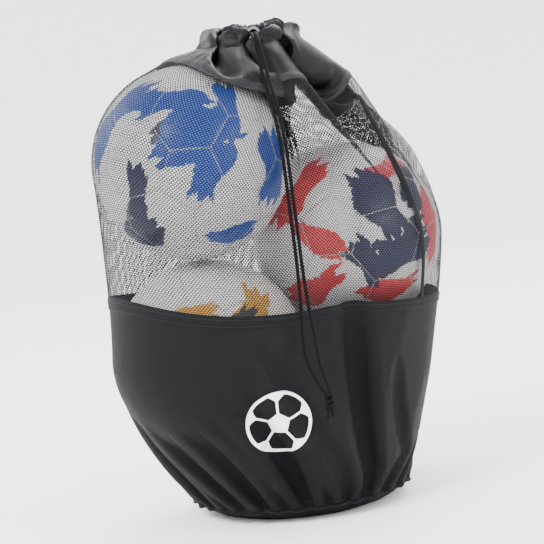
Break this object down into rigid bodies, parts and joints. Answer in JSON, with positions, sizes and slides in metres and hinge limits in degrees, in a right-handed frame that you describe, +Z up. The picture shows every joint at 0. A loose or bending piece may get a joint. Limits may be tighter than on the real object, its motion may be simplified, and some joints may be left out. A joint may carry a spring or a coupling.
{
  "type": "mesh ball bag",
  "caption": "Drawstring ball bag of black net with a woven lower wall, round base and satin collar, standing full of footballs.",
  "frame": {"origin": "on the floor under the middle of the bag's own box, drawcord left out", "axes": "+Z up from the base to the gathered mouth, -Y out of the printed front, +X to the right of the print"},
  "size_m": [0.3993, 0.4034, 0.5671],
  "materials": {
    "oxford_cloth": "matte woven",
    "net_cloth": "knitted net",
    "satin_cloth": "satin",
    "binding_tape": "matte woven",
    "white_print": "screen print",
    "eyelet_metal": "dark nickel",
    "drawcord": "braided",
    "ball_cover_blue": "satin",
    "ball_cover_gold": "satin",
    "ball_cover_red": "satin",
    "ball_cover_plain": "satin",
    "bladder_rubber": "matte",
    "valve_rubber": "matte"
  },
  "bodies": {
    "bag": {"base_panel": "oxford_cloth", "base_seam_piping": "binding_tape", "lower_wall": "oxford_cloth", "mesh_panel": "net_cloth", "collar_panel": "satin_cloth", "wall_hem_tape": "oxford_cloth", "collar_seam_tape": "satin_cloth", "wall_seam_tape": "oxford_cloth", "mesh_seam_tape": "binding_tape", "printed_mark": "white_print", "drawcord_channel_front": "satin_cloth", "drawcord_channel_right_front": "satin_cloth", "drawcord_channel_right_back": "satin_cloth", "drawcord_channel_back": "satin_cloth", "drawcord_channel_left_back": "satin_cloth", "drawcord_channel_left_front": "satin_cloth", "eyelet": "eyelet_metal", "eyelet_washer": "eyelet_metal", "drawcord_loop": "drawcord"},
    "cord_neck": {"drawcord_neck_left": "drawcord", "drawcord_neck_right": "drawcord"},
    "cord_tails": {"drawcord_strand_left": "drawcord", "drawcord_strand_right": "drawcord", "end_knot": "drawcord", "drawcord_cut_ends": "drawcord"},
    "top_ball": {"top_ball_cover": "ball_cover_blue", "top_ball_bladder": "bladder_rubber", "top_ball_valve": "valve_rubber"},
    "left_ball": {"left_ball_cover": "ball_cover_gold", "left_ball_bladder": "bladder_rubber", "left_ball_valve": "valve_rubber"},
    "right_ball": {"right_ball_cover": "ball_cover_red", "right_ball_bladder": "bladder_rubber", "right_ball_valve": "valve_rubber"},
    "bottom_ball": {"bottom_ball_cover": "ball_cover_plain", "bottom_ball_bladder": "bladder_rubber", "bottom_ball_valve": "valve_rubber"}
  },
  "joints": [
    {"name": "cord_pull", "type": "slide", "parent": "bag", "child": "cord_neck", "axis": [0, -1, 0], "range_m": [0, 0.009]},
    {"name": "cord_swing", "type": "hinge", "parent": "cord_neck", "child": "cord_tails", "pos_m": [0.004, -0.0845, 0.5565], "axis": [-1, 0, 0], "range_deg": [0, 60]},
    {"name": "top_ball_roll", "type": "hinge", "parent": "bag", "child": "top_ball", "pos_m": [-0.081, -0.0881, 0.421], "axis": [1, 0, 0], "continuous": true},
    {"name": "left_ball_roll", "type": "hinge", "parent": "bag", "child": "left_ball", "pos_m": [-0.085, -0.0776, 0.2], "axis": [1, 0, 0], "continuous": true},
    {"name": "right_ball_roll", "type": "hinge", "parent": "bag", "child": "right_ball", "pos_m": [0.086, 0.0059, 0.312], "axis": [0, 1, 0], "continuous": true},
    {"name": "bottom_ball_roll", "type": "hinge", "parent": "bag", "child": "bottom_ball", "pos_m": [0.04, 0.0884, 0.1125], "axis": [1, 0, 0], "continuous": true}
  ]
}
